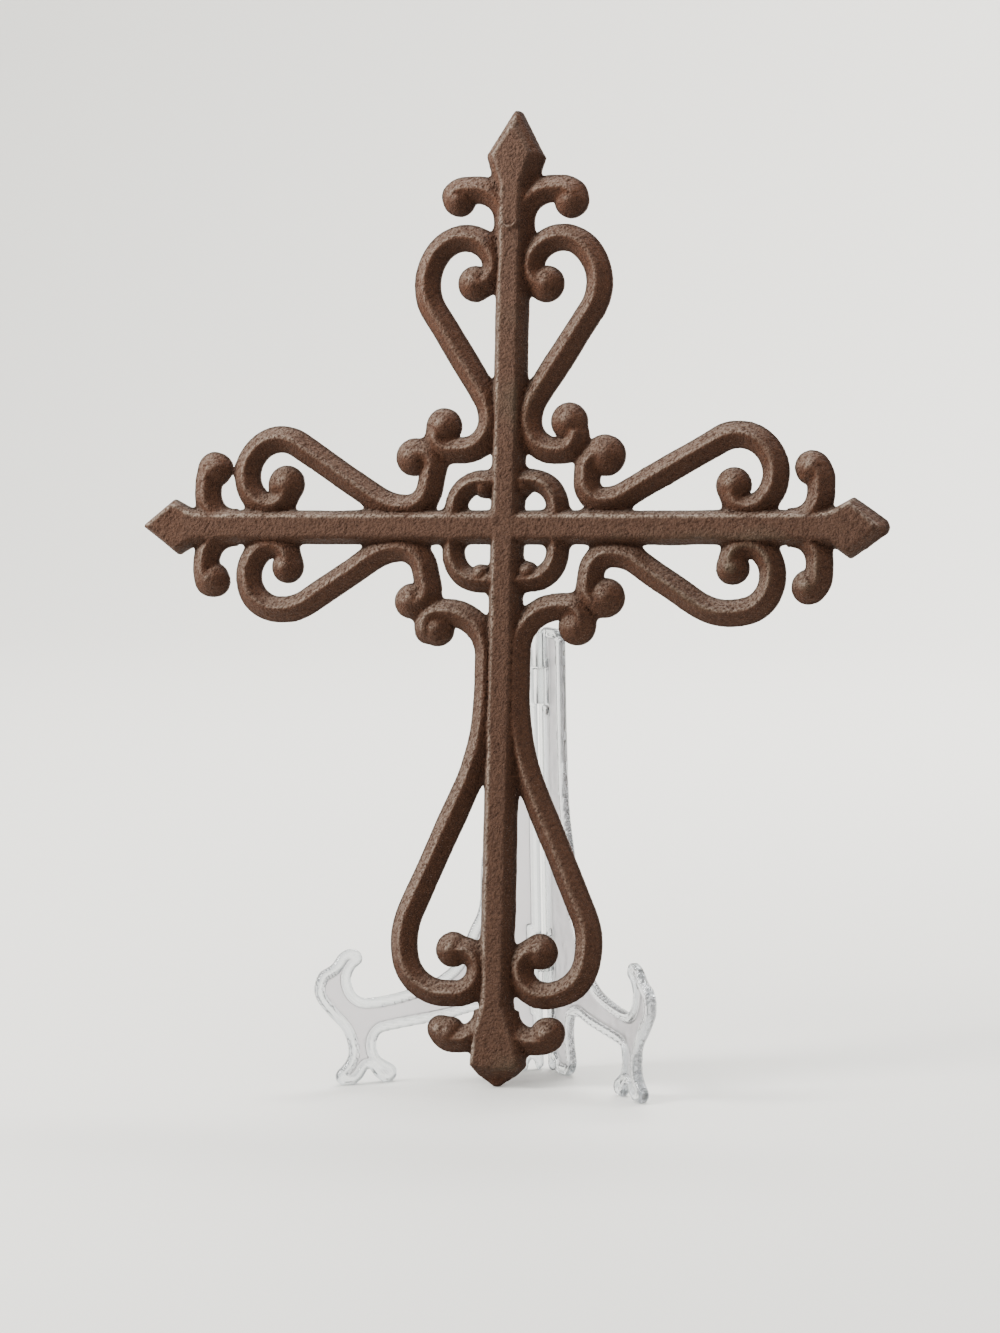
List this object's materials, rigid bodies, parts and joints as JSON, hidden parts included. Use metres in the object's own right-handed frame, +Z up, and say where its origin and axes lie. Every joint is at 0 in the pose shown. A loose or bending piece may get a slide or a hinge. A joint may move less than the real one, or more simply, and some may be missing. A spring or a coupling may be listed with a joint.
{
  "type": "wrought iron cross",
  "caption": "Cast iron scrollwork cross with spearhead ends, hearts and a centre ring, leaning on a folding clear plastic display easel.",
  "frame": {"origin": "bottom centre of the bounding box, on the table", "axes": "+Z up, -Y towards the viewer the cross faces, +X to the viewer's right; the cross leans back 8 degrees"},
  "size_m": [0.264, 0.0736, 0.3271],
  "materials": {
    "rusted_iron": "sand-cast skin, dry brown rust rubbed lighter on the ridges",
    "clear_plastic": "clear, glossy rims round a slightly hazy web"
  },
  "bodies": {
    "root": {"cross": "rusted_iron", "easel_left_side": "clear_plastic", "easel_right_side": "clear_plastic", "easel_hinge_pin": "clear_plastic"}
  },
  "joints": []
}
